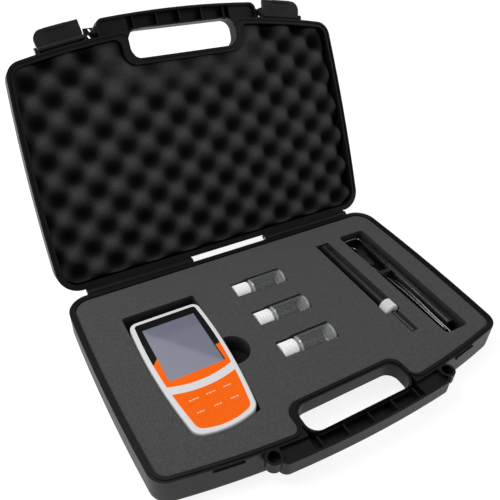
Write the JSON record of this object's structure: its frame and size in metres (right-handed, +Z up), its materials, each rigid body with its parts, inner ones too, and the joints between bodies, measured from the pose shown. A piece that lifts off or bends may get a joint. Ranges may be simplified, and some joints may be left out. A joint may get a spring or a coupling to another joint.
{
  "type": "portable water quality meter kit",
  "caption": "Open hinged carrying case with cut foam holding a handheld water meter, clear sample vials, a slim probe and an electrode on a folded lead.",
  "frame": {"origin": "middle of the tray's flat base, midway between the hinge side and the front corners", "axes": "+X along the hinge, -Y towards the carrying handle, +Z up"},
  "size_m": [0.441, 0.466, 0.311],
  "materials": {
    "case": "semi-gloss moulded black",
    "foam": "open-cell charcoal foam",
    "steel": "bright wire",
    "latch": "ribbed black",
    "shell": "satin light grey",
    "orange": "satin orange overlay",
    "black_trim": "glossy black",
    "window": "glossy display window",
    "display": "liquid crystal panel",
    "board": "solder mask green",
    "cells": "printed sleeve, plain",
    "key": "silicone rubber, orange",
    "seal": "matt black",
    "white_cap": "ribbed white",
    "liner": "soft white disc",
    "glass": "clear glass",
    "collar": "translucent white",
    "stem": "dark grey",
    "tube": "smoky translucent",
    "lead": "glossy black sheath"
  },
  "bodies": {
    "tray": {"case_tray": "case", "tray_foam": "foam", "hinge_pin_left": "steel", "hinge_pin_right": "steel"},
    "lid": {"case_lid": "case", "lid_foam": "foam", "latch_pin_left": "steel", "latch_pin_right": "steel"},
    "left_latch": {"latch_left": "latch"},
    "right_latch": {"latch_right": "latch"},
    "meter": {"meter_front_shell": "shell", "meter_rear_shell": "shell", "meter_gasket": "seal", "battery_door": "shell", "battery_cells": "cells", "circuit_board": "board", "display_module": "display", "key_mat": "seal", "screen_window": "window", "screen_surround": "black_trim", "screen_trim": "orange", "keypad_plate": "orange", "meter_screws": "steel", "meter_socket_left": "black_trim", "meter_socket_right": "black_trim"},
    "probe": {"probe_head": "black_trim", "probe_body": "black_trim", "probe_seal": "seal", "probe_stem": "stem"},
    "collar": {"probe_collar": "collar"},
    "electrode": {"electrode_cap": "black_trim", "electrode_tube": "tube", "electrode_bulb": "glass", "electrode_boot": "seal", "lead_relief": "seal", "lead_hank": "lead", "lead_plug": "black_trim", "lead_tie": "seal"},
    "button_1": {"key_1": "key"},
    "button_2": {"key_2": "key"},
    "button_3": {"key_3": "key"},
    "button_4": {"key_4": "key"},
    "button_5": {"key_5": "key"},
    "button_6": {"key_6": "key"},
    "vial_1": {"vial_1_glass": "glass"},
    "vial_cap_1": {"vial_1_cap": "white_cap", "vial_1_liner": "liner"},
    "vial_2": {"vial_2_glass": "glass"},
    "vial_cap_2": {"vial_2_cap": "white_cap", "vial_2_liner": "liner"},
    "vial_3": {"vial_3_glass": "glass"},
    "vial_cap_3": {"vial_3_cap": "white_cap", "vial_3_liner": "liner"}
  },
  "joints": [
    {"name": "lid_hinge", "type": "hinge", "parent": "tray", "child": "lid", "pos_m": [0, 0.13585, 0.0357], "axis": [-1, 0, 0], "range_deg": [-115.94, 0]},
    {"name": "left_latch_hinge", "type": "hinge", "parent": "lid", "child": "left_latch", "pos_m": [-0.145, 0.27118, 0.28487], "axis": [-0.989, -0.0647, -0.133], "range_deg": [-90, 0]},
    {"name": "right_latch_hinge", "type": "hinge", "parent": "lid", "child": "right_latch", "pos_m": [0.145, 0.27118, 0.28487], "axis": [-0.989, 0.0647, 0.133], "range_deg": [-90, 0]},
    {"name": "meter_lift", "type": "slide", "parent": "tray", "child": "meter", "axis": [0, 0, 1], "range_m": [0, 0.06]},
    {"name": "key_1_press", "type": "slide", "parent": "meter", "child": "button_1", "axis": [0, 0, -1], "range_m": [0, 0.0008], "stiffness_N_per_m": 1500},
    {"name": "key_2_press", "type": "slide", "parent": "meter", "child": "button_2", "axis": [0, 0, -1], "range_m": [0, 0.0008], "stiffness_N_per_m": 1500},
    {"name": "key_3_press", "type": "slide", "parent": "meter", "child": "button_3", "axis": [0, 0, -1], "range_m": [0, 0.0008], "stiffness_N_per_m": 1500},
    {"name": "key_4_press", "type": "slide", "parent": "meter", "child": "button_4", "axis": [0, 0, -1], "range_m": [0, 0.0008], "stiffness_N_per_m": 1500},
    {"name": "key_5_press", "type": "slide", "parent": "meter", "child": "button_5", "axis": [0, 0, -1], "range_m": [0, 0.0008], "stiffness_N_per_m": 1500},
    {"name": "key_6_press", "type": "slide", "parent": "meter", "child": "button_6", "axis": [0, 0, -1], "range_m": [0, 0.0008], "stiffness_N_per_m": 1500},
    {"name": "vial_1_lift", "type": "slide", "parent": "tray", "child": "vial_1", "axis": [0, 0, 1], "range_m": [0, 0.05]},
    {"name": "vial_1_cap_turn", "type": "hinge", "parent": "vial_1", "child": "vial_cap_1", "pos_m": [-0.024, 0.0592, 0.0288], "axis": [-1, 0, 0], "range_deg": [0, 360]},
    {"name": "vial_2_lift", "type": "slide", "parent": "tray", "child": "vial_2", "axis": [0, 0, 1], "range_m": [0, 0.05]},
    {"name": "vial_2_cap_turn", "type": "hinge", "parent": "vial_2", "child": "vial_cap_2", "pos_m": [-0.024, 0.0051, 0.0288], "axis": [-1, 0, 0], "range_deg": [0, 360]},
    {"name": "vial_3_lift", "type": "slide", "parent": "tray", "child": "vial_3", "axis": [0, 0, 1], "range_m": [0, 0.05]},
    {"name": "vial_3_cap_turn", "type": "hinge", "parent": "vial_3", "child": "vial_cap_3", "pos_m": [-0.024, -0.0483, 0.0288], "axis": [-1, 0, 0], "range_deg": [0, 360]},
    {"name": "probe_lift", "type": "slide", "parent": "tray", "child": "probe", "axis": [0, 0, 1], "range_m": [0, 0.05]},
    {"name": "probe_collar_turn", "type": "hinge", "parent": "probe", "child": "collar", "pos_m": [0.1182, -0.0495, 0.033], "axis": [0, -1, 0], "range_deg": [0, 360]},
    {"name": "electrode_lift", "type": "slide", "parent": "tray", "child": "electrode", "axis": [0, 0, 1], "range_m": [0, 0.05]}
  ]
}
